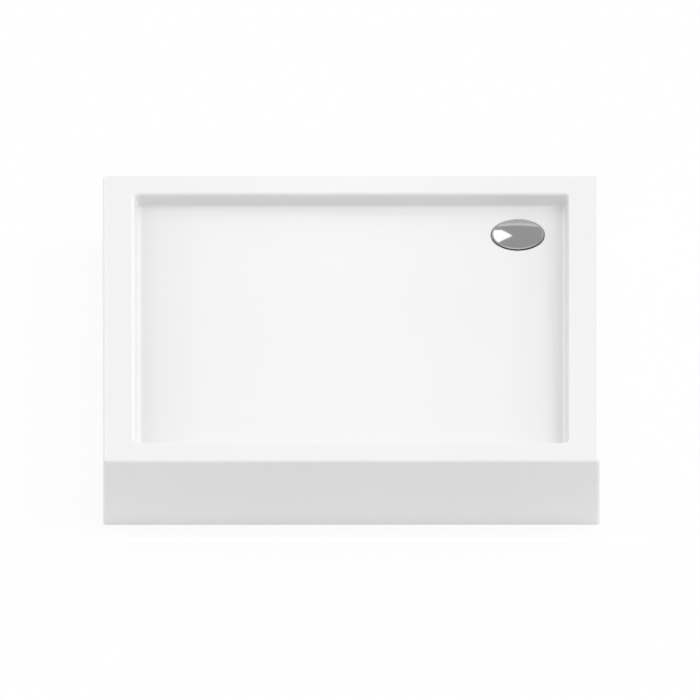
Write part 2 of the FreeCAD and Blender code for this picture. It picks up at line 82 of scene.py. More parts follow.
def arithmetic(tree, operation, *values):
    return addNode(tree, "ShaderNodeMath", dict(enumerate(values)), operation=operation).outputs["Value"]


def bareTree(owner):
    owner.use_nodes = True
    owner.node_tree.nodes.clear()
    return owner.node_tree


def newMaterial(name, **shaderValues):
    material = bpy.data.materials.new(name)
    tree = bareTree(material)
    output = addNode(tree, "ShaderNodeOutputMaterial")
    shader = addNode(tree, "ShaderNodeBsdfPrincipled", shaderValues)
    tree.links.new(shader.outputs["BSDF"], output.inputs["Surface"])
    coords = addNode(tree, "ShaderNodeTexCoord").outputs["Object"]
    return material, tree, shader, coords


def feed(tree, shader, colour, roughness, normal):
    for socket, value in (("Base Color", colour), ("Roughness", roughness), ("Normal", normal)):
        tree.links.new(value, shader.inputs[socket])


def noise(tree, coords, scale, detail=3.0, roughness=0.5, distortion=0.0):
    return addNode(tree, "ShaderNodeTexNoise", {
        "Vector": coords, "Scale": scale, "Detail": detail, "Roughness": roughness, "Distortion": distortion,
    }).outputs["Fac"]


def ramp(tree, factor, stops):
    made = addNode(tree, "ShaderNodeValToRGB", {"Fac": factor})
    elements = made.color_ramp.elements
    while len(elements) < len(stops):
        elements.new(0.5)
    for element, (place, colour) in zip(elements, stops):
        element.position = place
        element.color = (*colour, 1.0)
    return made.outputs["Color"]


def remap(tree, value, low, high, fromLow=0.0, fromHigh=1.0):
    return addNode(tree, "ShaderNodeMapRange", {
        "Value": value, "From Min": fromLow, "From Max": fromHigh, "To Min": low, "To Max": high,
    }).outputs["Result"]


def stretched(tree, coords, scale, turn=(0.0, 0.0, 0.0)):
    mapping = addNode(tree, "ShaderNodeMapping", {"Vector": coords, "Scale": scale, "Rotation": turn})
    return mapping.outputs["Vector"]


def bump(tree, height, distance, strength=1.0, before=None):
    inputs = {"Height": height, "Distance": distance, "Strength": strength}
    if before is not None:
        inputs["Normal"] = before
    return addNode(tree, "ShaderNodeBump", inputs).outputs["Normal"]


# Small helpers for meshes

def newObject(name, mesh):
    made = bpy.data.objects.new(name, mesh)
    scene.collection.objects.link(made)
    return made


def meshFrom(name, build):
    bm = bmesh.new()
    build(bm)
    mesh = bpy.data.meshes.new(name)
    bm.to_mesh(mesh)
    bm.free()
    return mesh


def reshape(mesh, change):
    bm = bmesh.new()
    bm.from_mesh(mesh)
    change(bm)
    bm.to_mesh(mesh)
    bm.free()


def sharpen(bm, degrees):
    for rim in bm.edges:
        rim.smooth = not (len(rim.link_faces) == 2 and rim.calc_face_angle() > math.radians(degrees))


def takeOver(piece, node):
    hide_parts(node)
    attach(piece, frame["nodes"][node]["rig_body"])


dressing = {"mergeGap": 2e-6, "flatAngle": 0.2, "sharpAngle": 32.0, "bevelSegments": 2, "flatWeight": 80}


# A CAD node's own surface, with its corners merged, its flats whole and its edges broken by a small bevel
def dressedCopy(node, pieceName, material, edge=0.0):
    def dress(bm):
        bm.from_mesh(frame["nodes"][node].data)
        bmesh.ops.remove_doubles(bm, verts=bm.verts, dist=dressing["mergeGap"])
        flat = math.radians(dressing["flatAngle"])
        bmesh.ops.dissolve_limit(bm, angle_limit=flat, verts=bm.verts, edges=bm.edges)
        for face in bm.faces:
            face.smooth = True
        sharpen(bm, dressing["sharpAngle"])

    piece = newObject(pieceName, meshFrom(pieceName, dress))
    if edge > 0:
        bevel = piece.modifiers.new("brokenEdges", "BEVEL")
        bevel.width = edge
        bevel.segments = dressing["bevelSegments"]
        bevel.limit_method = "ANGLE"
        bevel.angle_limit = math.radians(dressing["sharpAngle"])
        bevel.use_clamp_overlap = True
        bevel.harden_normals = False
    weighted = piece.modifiers.new("flatFaces", "WEIGHTED_NORMAL")
    weighted.keep_sharp = edge == 0
    weighted.weight = dressing["flatWeight"]
    piece.data.materials.append(material)
    takeOver(piece, node)


# A closed lathe body about the upright axis at a place, from (radius, height) in mm
def lathed(name, profile, place=(0.0, 0.0), steps=96):
    onAxis = 1e-6

    def build(bm):
        rings = []
        for radius, height in profile:
            if radius < onAxis:
                rings.append([bm.verts.new((place[0], place[1], height * mm))])
                continue
            ring = []
            for i in range(steps):
                angle = 2 * math.pi * i / steps
                x = place[0] + radius * mm * math.cos(angle)
                y = place[1] + radius * mm * math.sin(angle)
                ring.append(bm.verts.new((x, y, height * mm)))
            rings.append(ring)
        closed = profile[0][0] > onAxis
        pairs = list(zip(rings, rings[1:] + rings[:1])) if closed else list(zip(rings, rings[1:]))
        for low, high in pairs:
            for i in range(steps):
                j = (i + 1) % steps
                corners = [low[i % len(low)], low[j % len(low)], high[j % len(high)], high[i % len(high)]]
                unique = list(dict.fromkeys(corners))
                if len(unique) > 2:
                    bm.faces.new(unique)
        for face in bm.faces:
            face.smooth = True
        bmesh.ops.recalc_face_normals(bm, faces=bm.faces)
    return meshFrom(name, build)


# Geometry node trees

def newTree(name, sizes):
    tree = bpy.data.node_groups.new(name, "GeometryNodeTree")
    tree.interface.new_socket(name="Geometry", in_out="INPUT", socket_type="NodeSocketGeometry")
    for label, kind, value in sizes:
        socket = tree.interface.new_socket(name=label, in_out="INPUT", socket_type=kind)
        if value is not None:
            socket.default_value = value
    tree.interface.new_socket(name="Geometry", in_out="OUTPUT", socket_type="NodeSocketGeometry")
    return tree, addNode(tree, "NodeGroupInput"), addNode(tree, "NodeGroupOutput")


# The two nodes that every tree ends in
def finishTree(tree, geometry, material, result):
    real = addNode(tree, "GeometryNodeRealizeInstances", {"Geometry": geometry})
    painted = addNode(tree, "GeometryNodeSetMaterial", {
        "Geometry": real.outputs["Geometry"], "Material": material,
    })
    tree.links.new(painted.outputs["Geometry"], result.inputs["Geometry"])


def runTree(tree, baseMesh, name, values):
    worker = newObject(name + "Worker", baseMesh)
    modifier = worker.modifiers.new(name, "NODES")
    modifier.node_group = tree
    identifiers = {item.name: item.identifier for item in tree.interface.items_tree if item.in_out == "INPUT"}
    for label, value in values.items():
        modifier[identifiers[label]] = value
    graph = bpy.context.evaluated_depsgraph_get()
    graph.update()
    mesh = bpy.data.meshes.new_from_object(worker.evaluated_get(graph))
    mesh.name = name
    bpy.data.objects.remove(worker)
    return mesh


# Materials

plastic = {"IOR": 1.49, "Specular IOR Level": 0.4}

acrylic = {
    "colour": (0.872, 0.872, 0.87), "shade": (0.862, 0.862, 0.861), "cloudScale": 3.0,
    "roughness": (0.2, 0.29), "wearScale": 38.0,
    "rippleScale": 7.0, "rippleHeight": 0.00012, "peelScale": 420.0, "peelHeight": 0.0000025,
    # The floor's mask and the (place, grey) stops of the painted shade beside the side walls
    "floorMiddle": 0.0018, "floorSide": 0.4225, "floorEnd": 0.436, "edgeFade": 0.001,
    "floorTop": 0.1285, "topFade": 0.003, "wallShadeReach": 0.12,
    "wallShadeStops": [(0.0, 0.885), (0.1, 0.9), (0.17, 0.92), (0.235, 0.94), (0.3, 0.955), (0.42, 0.965),
              (0.62, 0.975), (0.8, 0.985), (1.0, 1.0)],
}


# Painted shade: the floor's colour is made greyer beside the basin's two side walls, where shade falls next to
# the walls
def paintedWallShade(tree, coords):
    place = addNode(tree, "ShaderNodeSeparateXYZ", {"Vector": coords}).outputs
    side, top = acrylic["floorSide"], acrylic["floorTop"]
    across = arithmetic(tree, "ABSOLUTE", arithmetic(tree, "SUBTRACT", place["X"], acrylic["floorMiddle"]))
    along = arithmetic(tree, "ABSOLUTE", place["Y"])
    shadeShare = remap(tree, place["Z"], 1.0, 0.0, top, top + acrylic["topFade"])
    for distance, end in ((across, side), (along, acrylic["floorEnd"])):
        within = remap(tree, distance, 1.0, 0.0, end, end + acrylic["edgeFade"])
        shadeShare = arithmetic(tree, "MULTIPLY", shadeShare, within)
    inward = remap(tree, across, 0.0, 1.0, side, side - acrylic["wallShadeReach"])
    return shadeShare, ramp(tree, inward, [(at, (grey, grey, grey)) for at, grey in acrylic["wallShadeStops"]])


def makeAcrylic():
    material, tree, shader, coords = newMaterial("whiteAcrylic", **plastic)
    cloud = noise(tree, coords, acrylic["cloudScale"], 2.0)
    tint = ramp(tree, cloud, [(0.35, acrylic["shade"]), (0.65, acrylic["colour"])])
    # Painted shade beside the side walls, multiplied into the cloudy colour
    shadeShare, grey = paintedWallShade(tree, coords)
    tintAndShade = addNode(tree, "ShaderNodeMix", data_type="RGBA", blend_type="MULTIPLY")
    for socket, value in ((0, shadeShare), (6, tint), (7, grey)):  # factor, first and second colour
        tree.links.new(value, tintAndShade.inputs[socket])
    wear = noise(tree, coords, acrylic["wearScale"], 6.0, 0.6)
    peel = bump(tree, noise(tree, coords, acrylic["peelScale"], 1.0), acrylic["peelHeight"])
    ripple = bump(tree, noise(tree, coords, acrylic["rippleScale"], 1.0), acrylic["rippleHeight"], before=peel)
    feed(tree, shader, tintAndShade.outputs[2], remap(tree, wear, *acrylic["roughness"]), ripple)  # 2: mixed colour
    return material


chromePlate = {
    "bright": (0.61, 0.61, 0.615), "dull": (0.6, 0.6, 0.605), "spotScale": 180.0, "roughness": (0.03, 0.09),
    "waveScale": 60.0, "waveHeight": 0.000004,
}


def makeChrome():
    material, tree, shader, coords = newMaterial("chromePlate", Metallic=1.0)
    spots = noise(tree, coords, chromePlate["spotScale"], 4.0, 0.7)
    colour = ramp(tree, spots, [(0.3, chromePlate["dull"]), (0.7, chromePlate["bright"])])
    waves = bump(tree, noise(tree, coords, chromePlate["waveScale"], 1.0), chromePlate["waveHeight"])
    feed(tree, shader, colour, remap(tree, spots, *chromePlate["roughness"]), waves)
    return material


steel = {
    "crystalScale": 90.0, "patchScale": 40.0, "patchHeight": 0.00002, "smoother": 0.07, "rougher": 0.1,
    "lineStretch": (900.0, 60.0, 900.0), "lineHeight": 0.000008,
}


def makeSteel(name, bright, dull, roughness):
    material, tree, shader, coords = newMaterial(name, Metallic=1.0)
    cells = addNode(tree, "ShaderNodeTexVoronoi", {"Vector": coords, "Scale": steel["crystalScale"]})
    crystals = addNode(tree, "ShaderNodeSeparateColor", {"Color": cells.outputs["Color"]}).outputs["Red"]
    patches = noise(tree, coords, steel["patchScale"], 5.0, 0.6)
    mixed = arithmetic(tree, "ADD", patches, crystals)
    colour = ramp(tree, remap(tree, mixed, 0, 1, 0, 2), [(0.25, dull), (0.75, bright)])
    lines = noise(tree, stretched(tree, coords, steel["lineStretch"]), 1.0, 2.0)
    worn = remap(tree, lines, roughness - steel["smoother"], roughness + steel["rougher"])
    relief = bump(tree, lines, steel["lineHeight"], before=bump(tree, patches, steel["patchHeight"]))
    feed(tree, shader, colour, worn, relief)
    return material


moulded = {
    "flowStretch": (1.0, 1.0, 2.5), "flowScale": 26.0, "wearScale": 90.0, "smoother": 0.06, "rougher": 0.08,
}


def makeMoulded(name, colour, shade, roughness, grain=650.0, grainHeight=0.00001):
    material, tree, shader, coords = newMaterial(name, **plastic)
    flow = noise(tree, stretched(tree, coords, moulded["flowStretch"]), moulded["flowScale"], 4.0, 0.6, 0.6)
    wear = noise(tree, coords, moulded["wearScale"], 3.0)
    worn = remap(tree, wear, roughness - moulded["smoother"], roughness + moulded["rougher"])
    relief = bump(tree, noise(tree, coords, grain, 2.0), grainHeight)
    feed(tree, shader, ramp(tree, flow, [(0.3, shade), (0.7, colour)]), worn, relief)
    return material


rubber = {
    "colour": (0.018, 0.018, 0.018), "bloom": (0.05, 0.05, 0.052), "bloomScale": 70.0,
    "roughness": (0.6, 0.85), "grainScale": 900.0, "grainHeight": 0.00001,
}


def makeRubber():
    material, tree, shader, coords = newMaterial("sealRubber", **{"Specular IOR Level": 0.3})
    bloom = noise(tree, coords, rubber["bloomScale"], 5.0, 0.65)
    colour = ramp(tree, bloom, [(0.35, rubber["colour"]), (0.75, rubber["bloom"])])
    grain = bump(tree, noise(tree, coords, rubber["grainScale"], 2.0), rubber["grainHeight"])
    feed(tree, shader, colour, remap(tree, bloom, *rubber["roughness"]), grain)
    return material


glassFibre = {
    "resin": (0.5, 0.46, 0.33), "strand": (0.78, 0.76, 0.66), "stretch": (520.0, 22.0, 90.0),
    "turns": (0.2, 1.15, 2.05, 2.75),  # strands of the chopped mat lie in a few directions, in radians
    "strandHeight": 0.0003, "lumpScale": 45.0, "lumpHeight": 0.0012, "roughness": (0.28, 0.62),
}


def makeGlassFibre():
    material, tree, shader, coords = newMaterial("glassFibre", IOR=1.52)
    layers = None
    for turn in glassFibre["turns"]:
        along = stretched(tree, coords, glassFibre["stretch"], (0.0, 0.0, turn))
        strands = remap(tree, noise(tree, along, 1.0, 1.0), 0.0, 1.0, 0.5, 0.66)
        layers = strands if layers is None else arithmetic(tree, "MAXIMUM", layers, strands)
    colour = ramp(tree, layers, [(0.0, glassFibre["resin"]), (1.0, glassFibre["strand"])])
    lumps = bump(tree, noise(tree, coords, glassFibre["lumpScale"], 4.0), glassFibre["lumpHeight"])
    relief = bump(tree, layers, glassFibre["strandHeight"], before=lumps)
    feed(tree, shader, colour, remap(tree, layers, *glassFibre["roughness"]), relief)
    return material


boardChips = {
    "stretch": (1.0, 1.7, 2.6), "turn": (0.0, 0.0, 0.5), "scale": 240.0, "height": 0.0006, "patchScale": 14.0,
    "tones": [(0.15, (0.2, 0.115, 0.05)), (0.45, (0.4, 0.26, 0.13)), (0.85, (0.62, 0.45, 0.26))],
    "roughness": (0.62, 0.85),
}


def makeChipboard():
    material, tree, shader, coords = newMaterial("chipboard", **{"Specular IOR Level": 0.25})
    laid = stretched(tree, coords, boardChips["stretch"], boardChips["turn"])
    chips = addNode(tree, "ShaderNodeTexVoronoi", {"Vector": laid, "Scale": boardChips["scale"]}).outputs
    tone = addNode(tree, "ShaderNodeSeparateColor", {"Color": chips["Color"]}).outputs["Green"]
    mixed = arithmetic(tree, "ADD", tone, noise(tree, coords, boardChips["patchScale"], 4.0))
    colour = ramp(tree, remap(tree, mixed, 0, 1, 0, 2), boardChips["tones"])
    relief = bump(tree, chips["Distance"], boardChips["height"], 0.7)
    feed(tree, shader, colour, remap(tree, tone, *boardChips["roughness"]), relief)
    return material


whiteAcrylic = makeAcrylic()
chrome = makeChrome()
zincSteel = makeSteel("zincSteel", (0.72, 0.73, 0.74), (0.5, 0.51, 0.53), 0.34)
stainlessSteel = makeSteel("stainlessSteel", (0.66, 0.66, 0.65), (0.54, 0.54, 0.535), 0.24)
trapPlastic = makeMoulded("trapPlastic", (0.74, 0.74, 0.72), (0.68, 0.68, 0.665), 0.36)
nutPlastic = makeMoulded("nutPlastic", (0.82, 0.82, 0.8), (0.77, 0.77, 0.755), 0.32)
insertPlastic = makeMoulded("insertPlastic", (0.3, 0.32, 0.35), (0.25, 0.265, 0.29), 0.38)
padPlastic = makeMoulded("padPlastic", (0.035, 0.035, 0.036), (0.022, 0.022, 0.023), 0.5, 500.0, 0.00003)
sealRubber = makeRubber()
fibreLayer = makeGlassFibre()
chipboard = makeChipboard()
print("materials ready")


# The moulded tray

dressedCopy("tray_shell", "trayShell", whiteAcrylic)
dressedCopy("underside_laminate", "fibreUnderside", fibreLayer)
dressedCopy("base_board", "baseBoard", chipboard, edge=0.0004)
print("tray ready")


# Waste cover: a shallow dome with a rolled lip, on four legs

cover = {
    "radius": 52.0, "domeRadius": 453.0, "crown": 128.0, "thick": 2.0,
    "bead": 1.7, "beadJoin": 40.0, "beadSweep": 230.0,  # where the lip's roll starts, and its turn, in degrees
    "legs": 4, "legRadius": 25.42, "legWall": 2.8, "legWidth": 12.0, "legEnd": 104.0, "legBite": 1.0,
    "steps": 160, "domeSteps": 24, "beadSteps": 16, "underSteps": 8, "legSteps": 6, "sharpAngle": 35,
}
low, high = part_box("drain_cover")
wastePlace = ((low[0] + high[0]) / 2, (low[1] + high[1]) / 2)


def coverProfile():
    bead = cover["bead"]
    middle = cover["crown"] - cover["domeRadius"]
    beadRing = cover["radius"] - bead
    join = beadRing - bead * math.cos(math.radians(cover["beadJoin"]))
    joinLevel = middle + math.sqrt(cover["domeRadius"] ** 2 - join ** 2)
    beadLevel = joinLevel - bead * math.sin(math.radians(cover["beadJoin"]))
    points = []
    for i in range(cover["domeSteps"] + 1):
        radius = join * i / cover["domeSteps"]
        points.append((radius, middle + math.sqrt(cover["domeRadius"] ** 2 - radius ** 2)))
    for i in range(1, cover["beadSteps"] + 1):
        angle = math.radians(180 - cover["beadJoin"] - cover["beadSweep"] * i / cover["beadSteps"])
        points.append((beadRing + bead * math.cos(angle), beadLevel + bead * math.sin(angle)))
    under = cover["domeRadius"] - cover["thick"]
    for i in range(cover["underSteps"] + 1):
        radius = (beadRing - bead) * (1 - i / cover["underSteps"])
        points.append((radius, middle + math.sqrt(under ** 2 - radius ** 2)))
    return points


def addCoverLegs(bm):
    half = math.asin(cover["legWidth"] / 2 / cover["legRadius"])
    inner = cover["legRadius"] - cover["legWall"]
    middle = cover["crown"] - cover["domeRadius"]
    for i in range(cover["legs"]):
        turn = 2 * math.pi * i / cover["legs"]
        columns = []
        for k in range(cover["legSteps"] + 1):
            angle = turn - half + 2 * half * k / cover["legSteps"]
            column = []
            for radius in (inner, cover["legRadius"]):
                roof = middle + math.sqrt((cover["domeRadius"] - cover["legBite"]) ** 2 - radius ** 2)
                for level in (cover["legEnd"], roof):
                    x = wastePlace[0] + radius * mm * math.cos(angle)
                    y = wastePlace[1] + radius * mm * math.sin(angle)
                    column.append(bm.verts.new((x, y, level * mm)))
            columns.append(column)
        made = []
        for a, b in zip(columns, columns[1:]):
            for p, q in ((0, 1), (1, 3), (3, 2), (2, 0)):
                made.append(bm.faces.new((a[p], a[q], b[q], b[p])))
        for end in (columns[0], columns[-1]):
            made.append(bm.faces.new((end[0], end[1], end[3], end[2])))
        bmesh.ops.recalc_face_normals(bm, faces=made)


coverMesh = lathed("wasteCover", coverProfile(), wastePlace, cover["steps"])
reshape(coverMesh, addCoverLegs)
reshape(coverMesh, lambda bm: sharpen(bm, cover["sharpAngle"]))
coverMesh.materials.append(chrome)
takeOver(newObject("wasteCover", coverMesh), "drain_cover")
print("cover ready")


# Waste, trap and outlet

dressedCopy("waste_flange", "wasteFlange", stainlessSteel, edge=0.0003)
dressedCopy("trap_body", "trapBody", trapPlastic, edge=0.0005)
dressedCopy("trap_insert", "trapInsert", insertPlastic, edge=0.0003)
dressedCopy("insert_strainer", "insertStrainer", insertPlastic, edge=0.0003)
dressedCopy("outlet_elbow", "outletElbow", trapPlastic, edge=0.0005)
dressedCopy("outlet_union_nut", "outletUnionNut", nutPlastic, edge=0.0005)
dressedCopy("insert_seal", "insertSeal", sealRubber)
dressedCopy("waste_upper_seal", "upperSeal", sealRubber, edge=0.0002)
dressedCopy("waste_lower_seal", "lowerSeal", sealRubber, edge=0.0002)
dressedCopy("outlet_seal", "outletSeal", sealRubber, edge=0.0002)
print("trap ready")


# Feet: plates, threaded studs, pads and lock nuts

stud = {
    "radius": 6.0, "pitch": 1.75, "ridge": 0.9, "rootDepth": 0.95, "low": 30.0, "top": 99.5, "runOut": 1.2,
    "hex": 19.0, "hexLow": 22.0, "hexHigh": 30.0, "hexTurned": 1.0, "hexSlope": 30.0, "hexSides": 48,
    "spigot": 5.0, "spigotLow": 8.0, "spigotIn": 1.0, "rodIn": 1.2,  # both ends lie inside the hexagon
    "chamfer": 0.8, "turnSteps": 20, "coreSides": 32, "sharpAngle": 28,
}


def makeThreadTree():
    tree, source, result = newTree("threadOnRod", [
        ("Major radius", "NodeSocketFloat", 0.006),
        ("Ridge", "NodeSocketFloat", 0.0009),
        ("Pitch", "NodeSocketFloat", 0.00175),
        ("Length", "NodeSocketFloat", 0.07),
        ("Steps a turn", "NodeSocketInt", 20),
        ("Material", "NodeSocketMaterial", None),
    ])
    ask = source.outputs
    turns = arithmetic(tree, "DIVIDE", ask["Length"], ask["Pitch"])
    ring = arithmetic(tree, "SUBTRACT", ask["Major radius"], ask["Ridge"])
    helix = addNode(tree, "GeometryNodeCurveSpiral", {
        "Resolution": ask["Steps a turn"], "Rotations": turns, "Start Radius": ring, "End Radius": ring,
        "Height": ask["Length"],
    })
    upright = addNode(tree, "GeometryNodeSetCurveNormal", {"Curve": helix.outputs["Curve"]})
    upright.mode = "Z_UP"
    profile = addNode(tree, "GeometryNodeCurvePrimitiveCircle", {"Resolution": 4, "Radius": ask["Ridge"]})
    ridge = addNode(tree, "GeometryNodeCurveToMesh", {
        "Curve": upright.outputs["Curve"], "Profile Curve": profile.outputs["Curve"], "Fill Caps": True,
    })
    joined = addNode(tree, "GeometryNodeJoinGeometry")
    tree.links.new(ridge.outputs["Mesh"], joined.inputs["Geometry"])
    tree.links.new(ask["Geometry"], joined.inputs["Geometry"])
    finishTree(tree, joined.outputs["Geometry"], ask["Material"], result)
    return tree


# A spanner hexagon whose corners are turned off at both ends
def addHexagon(bm, acrossFlats, low, high):
    sides = stud["hexSides"]
    turned = acrossFlats / math.sqrt(3) - stud["hexTurned"]
    slope = math.tan(math.radians(stud["hexSlope"]))
    rings, made = [], []
    for level, atEnd in ((low, True), (low, False), (high, False), (high, True)):
        ring = []
        for i in range(sides):
            angle = 2 * math.pi * i / sides
            local = (angle + math.pi / 6) % (math.pi / 3)
            radius = acrossFlats / 2 / math.cos(local - math.pi / 6)
            drop = max(0.0, radius - turned) * slope
            if atEnd:
                radius, z = min(radius, turned), level
            else:
                z = level + drop if level == low else level - drop
            ring.append(bm.verts.new((radius * mm * math.cos(angle), radius * mm * math.sin(angle), z * mm)))
        rings.append(ring)
    for a, b in zip(rings, rings[1:]):
        for i in range(sides):
            j = (i + 1) % sides
            made.append(bm.faces.new((a[i], a[j], b[j], b[i])))
    made += [bm.faces.new(rings[0]), bm.faces.new(rings[-1])]
    bmesh.ops.remove_doubles(bm, verts=[v for ring in rings for v in ring], dist=1e-7)
    bmesh.ops.recalc_face_normals(bm, faces=[face for face in made if face.is_valid])


def studCore():
    root, spigot, chamfer = stud["radius"] - stud["rootDepth"], stud["spigot"], stud["chamfer"]
    profile = [
        (0, stud["spigotLow"]), (spigot - chamfer, stud["spigotLow"]), (spigot, stud["spigotLow"] + chamfer),
        (spigot, stud["hexLow"] + stud["spigotIn"]), (root, stud["hexLow"] + stud["rodIn"]),
        (root, stud["top"] - chamfer), (root - chamfer, stud["top"]), (0, stud["top"]),
    ]
    base = stud["low"]  # the tree's helix starts at zero, so the core is made that much lower
    rod = lathed("studCore", [(radius, height - base) for radius, height in profile], steps=stud["coreSides"])
    reshape(rod, lambda bm: addHexagon(bm, stud["hex"], stud["hexLow"] - base, stud["hexHigh"] - base))
    return rod


studMesh = runTree(makeThreadTree(), studCore(), "footStud", {
    "Major radius": stud["radius"] * mm, "Ridge": stud["ridge"] * mm, "Pitch": stud["pitch"] * mm,
    "Length": (stud["top"] - stud["low"] - stud["runOut"]) * mm, "Steps a turn": stud["turnSteps"],
    "Material": zincSteel,
})
for place in feet:
    low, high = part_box("foot_stud_" + place)
    mesh = studMesh.copy()
    mesh.transform(Matrix.Translation(((low[0] + high[0]) / 2, (low[1] + high[1]) / 2, stud["low"] * mm)))
    reshape(mesh, lambda bm: sharpen(bm, stud["sharpAngle"]))
    takeOver(newObject("footStud_" + place, mesh), "foot_stud_" + place)
    dressedCopy("foot_plate_" + place, "footPlate_" + place, zincSteel, edge=0.0004)
    dressedCopy("foot_pad_" + place, "footPad_" + place, padPlastic, edge=0.0004)
dressedCopy("foot_lock_nuts", "lockNuts", zincSteel)
print("feet ready")


# Screws: one head with a cross recess, placed on points by a node tree

screw = {
    "headSteps": 32, "tip": 2.0, "rim": 0.1, "rimHeight": 0.02, "sharpAngle": 30, "seed": 4,
    "headCurve": [(0.0, 1.0), (0.55, 0.97), (0.85, 0.8), (1.0, 0.45)],  # shares of the radius and the height
    "modelRadius": 4.0, "modelHeight": 2.4,  # the head that the recess below is drawn for
    "recessLong": 4.2, "recessWide": 1.05, "recessDepth": 1.5, "recessTaper": 0.55, "recessAbove": 0.5,
}
plateScrew = {
    "headRadius": 4.0, "headHeight": 2.4, "shankRadius": 2.0, "shankLength": 15.0,
    "offset": 26.0, "level": 97.0,
}
flangeScrew = {
    "headRadius": 3.0, "headHeight": 2.2, "shankRadius": 2.0, "shankLength": 16.5,
    "ring": 37.25, "level": 109.5, "count": 4, "firstTurn": 45,
}


def screwMesh(name, sizes):
    headRadius, headHeight, shank = sizes["headRadius"], sizes["headHeight"], sizes["shankRadius"]
    profile = [(headRadius * across, -headHeight * rise) for across, rise in screw["headCurve"]]
    profile += [
        (headRadius, -screw["rimHeight"]), (headRadius - screw["rim"], 0), (shank, 0),
        (shank, sizes["shankLength"] - screw["tip"]), (0, sizes["shankLength"]),
    ]
    head = newObject(name + "Head", lathed(name, profile, steps=screw["headSteps"]))

    def crossBlades(bm):
        for turn in (0.0, math.pi / 2):
            for v in bmesh.ops.create_cube(bm, size=1.0)["verts"]:
                deep = v.co.z > 0
                narrow = screw["recessTaper"] if deep else 1.0
                x = v.co.x * screw["recessLong"] * headRadius / screw["modelRadius"] * narrow
                y = v.co.y * screw["recessWide"] * headRadius / screw["modelRadius"] * narrow
                bottom = screw["recessDepth"] * headHeight / screw["modelHeight"]
                z = -headHeight + (bottom if deep else -screw["recessAbove"])
                along, aside = math.cos(turn), math.sin(turn)
                v.co = Vector((x * along - y * aside, x * aside + y * along, z)) * mm

    cutter = newObject(name + "Recess", meshFrom(name + "Recess", crossBlades))
    cut = head.modifiers.new("recess", "BOOLEAN")
    cut.operation = "DIFFERENCE"
    cut.object = cutter
    cut.solver = "EXACT"
    cut.use_self = True
    graph = bpy.context.evaluated_depsgraph_get()
    graph.update()
    mesh = bpy.data.meshes.new_from_object(head.evaluated_get(graph))
    bpy.data.objects.remove(head)
    bpy.data.objects.remove(cutter)
    return mesh


def makeScrewTree():
    tree, source, result = newTree("screwsOnPoints", [
        ("Screw", "NodeSocketObject", None), ("Flip", "NodeSocketFloat", 0.0), ("Seed", "NodeSocketInt", 1),
        ("Material", "NodeSocketMaterial", None),
    ])
    ask = source.outputs
    info = addNode(tree, "GeometryNodeObjectInfo", {"Object": ask["Screw"]})
    turn = addNode(tree, "FunctionNodeRandomValue", {"Seed": ask["Seed"]}, data_type="FLOAT")
    turn.inputs[3].default_value = 6.283  # radians, the top of the float range
    angles = addNode(tree, "ShaderNodeCombineXYZ", {"X": ask["Flip"], "Z": turn.outputs[1]})
    stamped = addNode(tree, "GeometryNodeInstanceOnPoints", {
        "Points": ask["Geometry"], "Instance": info.outputs["Geometry"], "Rotation": angles.outputs["Vector"],
    })
    finishTree(tree, stamped.outputs["Instances"], ask["Material"], result)
    return tree


screwTree = makeScrewTree()


def placeScrews(pieceName, node, material, template, places, flip):
    pattern = newObject(pieceName + "Pattern", template)
    points = bpy.data.meshes.new(pieceName + "Points")
    points.from_pydata(places, [], [])
    mesh = runTree(screwTree, points, pieceName, {
        "Screw": pattern, "Flip": flip, "Seed": screw["seed"], "Material": material,
    })
    bpy.data.objects.remove(pattern)
    reshape(mesh, lambda bm: sharpen(bm, screw["sharpAngle"]))
    takeOver(newObject(pieceName, mesh), node)


plateScrewPlaces = []
for place in feet:
    low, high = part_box("foot_plate_" + place)
    cx, cy = (low[0] + high[0]) / 2, (low[1] + high[1]) / 2
    for sx in (-1, 1):
        for sy in (-1, 1):
            x, y = cx + sx * plateScrew["offset"] * mm, cy + sy * plateScrew["offset"] * mm
            plateScrewPlaces.append((x, y, plateScrew["level"] * mm))
placeScrews("plateScrews", "foot_plate_screws", zincSteel,
            screwMesh("plateScrew", plateScrew), plateScrewPlaces, 0.0)

flangeScrewPlaces = []
for i in range(flangeScrew["count"]):
    angle = math.radians(flangeScrew["firstTurn"] + 360 / flangeScrew["count"] * i)
    x = wastePlace[0] + flangeScrew["ring"] * mm * math.cos(angle)
    y = wastePlace[1] + flangeScrew["ring"] * mm * math.sin(angle)
    flangeScrewPlaces.append((x, y, flangeScrew["level"] * mm))
placeScrews("flangeScrews", "waste_flange_screws", stainlessSteel,
            screwMesh("flangeScrew", flangeScrew), flangeScrewPlaces, math.pi)
print("screws ready")


# Floor: mostly plain white to the camera and in reflections, so that only a soft shadow shows on it

floorPlane = {"reach": 14.0, "level": -0.0003, "grey": 0.93, "whiteShare": 0.87}


def newStageMesh(name, corners, faces, material):
    mesh = bpy.data.meshes.new(name)
    mesh.from_pydata(corners, [], faces)
    mesh.materials.append(material)
    made = newObject(name, mesh)
    return made


def makeFloor():
    material = bpy.data.materials.new("paleFloor")
    tree = bareTree(material)
    grey = floorPlane["grey"]
    diffuse = addNode(tree, "ShaderNodeBsdfDiffuse", {"Color": (grey, grey, grey, 1)})
    white = addNode(tree, "ShaderNodeEmission", {"Color": (1, 1, 1, 1), "Strength": 1.0})
    path = addNode(tree, "ShaderNodeLightPath").outputs
    seen = arithmetic(tree, "MAXIMUM", path["Is Camera Ray"], path["Is Glossy Ray"])
    mixed = addNode(tree, "ShaderNodeMixShader", {
        "Fac": arithmetic(tree, "MULTIPLY", seen, floorPlane["whiteShare"]),
        1: diffuse.outputs["BSDF"], 2: white.outputs["Emission"],
    })
    addNode(tree, "ShaderNodeOutputMaterial", {"Surface": mixed.outputs["Shader"]})
    return material


